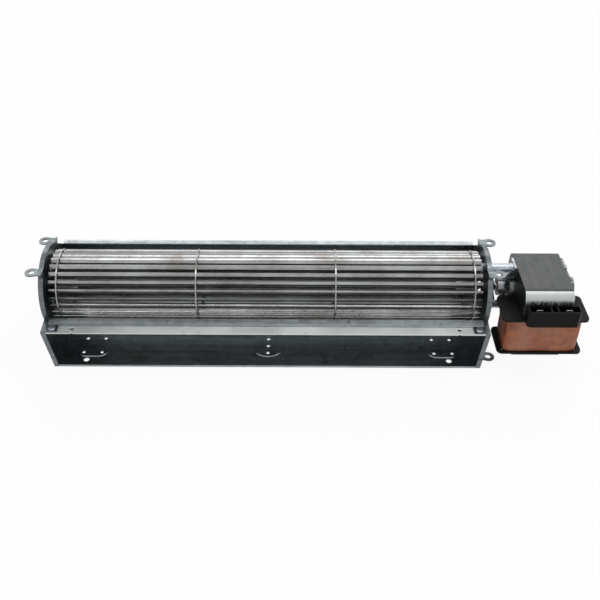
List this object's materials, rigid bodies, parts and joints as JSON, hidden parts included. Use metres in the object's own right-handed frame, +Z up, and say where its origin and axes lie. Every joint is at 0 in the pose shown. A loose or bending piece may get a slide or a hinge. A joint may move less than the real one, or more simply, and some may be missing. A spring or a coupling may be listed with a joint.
{
  "type": "cross flow fan",
  "caption": "Cross flow fan: long bladed impeller in a folded steel scroll housing with a rectangular outlet, driven directly by a shaded-pole motor at one end.",
  "frame": {"origin": "midway between the two larger fixing holes in the base, on the underside of the base sheet", "axes": "+X along the shaft towards the motor, the outlet faces -Y, +Z up"},
  "size_m": [0.4574, 0.1072, 0.0985],
  "materials": {
    "galvanised_sheet": "galvanised sheet steel, satin with faint spangle",
    "impeller_metal": "bright rolled aluminium sheet",
    "zinc_fastener": "zinc plated",
    "shaft_steel": "ground steel",
    "bronze_bush": "sintered bronze, oiled",
    "rubber": "moulded black rubber",
    "lamination": "varnished electrical steel laminations",
    "shading_copper": "bare copper strap",
    "bobbin_plastic": "moulded black polyamide",
    "winding": "varnished copper winding",
    "terminal_tin": "tinned brass",
    "fan_plastic": "moulded black polyamide",
    "cast_aluminium": "die cast aluminium",
    "fibre_washer": "vulcanised fibre"
  },
  "bodies": {
    "housing": {"scroll_casing": "galvanised_sheet", "tongue_plate": "galvanised_sheet", "left_end_plate": "galvanised_sheet", "right_end_plate": "galvanised_sheet", "rivets": "zinc_fastener", "bearing_cup": "galvanised_sheet", "rubber_ring": "rubber", "left_bush": "bronze_bush", "stator_frame": "lamination", "stator_limb": "lamination", "shading_rings": "shading_copper", "coil_bobbin": "bobbin_plastic", "coil_winding": "winding", "spade_terminals": "terminal_tin", "inner_bridge": "galvanised_sheet", "outer_bridge": "galvanised_sheet", "motor_bushes": "bronze_bush", "motor_spacers": "zinc_fastener", "motor_screws": "zinc_fastener", "motor_nuts": "zinc_fastener"},
    "rotor": {"impeller_blades": "impeller_metal", "support_rings": "impeller_metal", "left_end_disc": "impeller_metal", "right_end_disc": "impeller_metal", "grub_screw": "zinc_fastener", "stub_shaft": "shaft_steel", "motor_shaft": "shaft_steel", "cooling_fan": "fan_plastic", "rotor_core": "lamination", "rotor_cage": "cast_aluminium", "thrust_washers": "fibre_washer"}
  },
  "joints": [
    {"name": "impeller_spin", "type": "hinge", "parent": "housing", "child": "rotor", "pos_m": [0, 0.0265, 0.0635], "axis": [1, 0, 0], "continuous": true}
  ]
}
